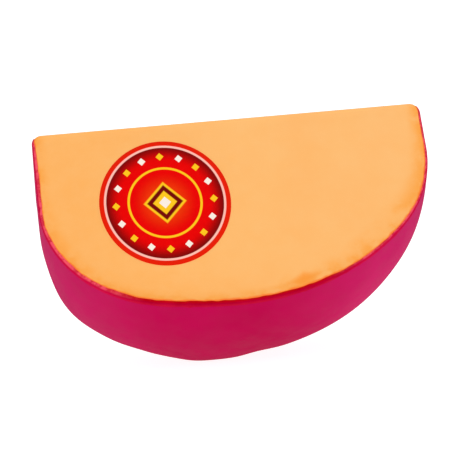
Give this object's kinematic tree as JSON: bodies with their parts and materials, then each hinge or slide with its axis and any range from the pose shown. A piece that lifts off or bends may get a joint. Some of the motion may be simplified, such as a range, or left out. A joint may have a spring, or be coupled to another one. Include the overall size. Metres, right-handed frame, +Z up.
{
  "type": "quarter of a waxed ball cheese",
  "caption": "Quarter of a waxed ball cheese, cut along the line between its poles, with flat cut faces, a thin coat of red wax on the rind and an oval paper label.",
  "frame": {"origin": "on the table, below the middle of the straight edge where the two cut faces meet", "axes": "+X along the straight edge, from its fuller end to its slimmer end; +Z up; -Y to the front, the side whose cut face has the label"},
  "size_m": [0.118, 0.101, 0.072],
  "materials": {
    "cheese": "firm pale orange paste, smooth and faintly moist where it was cut",
    "wax": "smooth crimson cheese wax with a soft satin shine",
    "label_paper": "coated paper, printed red with a pale ring and a plain gold band"
  },
  "bodies": {
    "root": {"cheese": "cheese", "wax_coat": "wax", "label": "label_paper"}
  },
  "joints": []
}
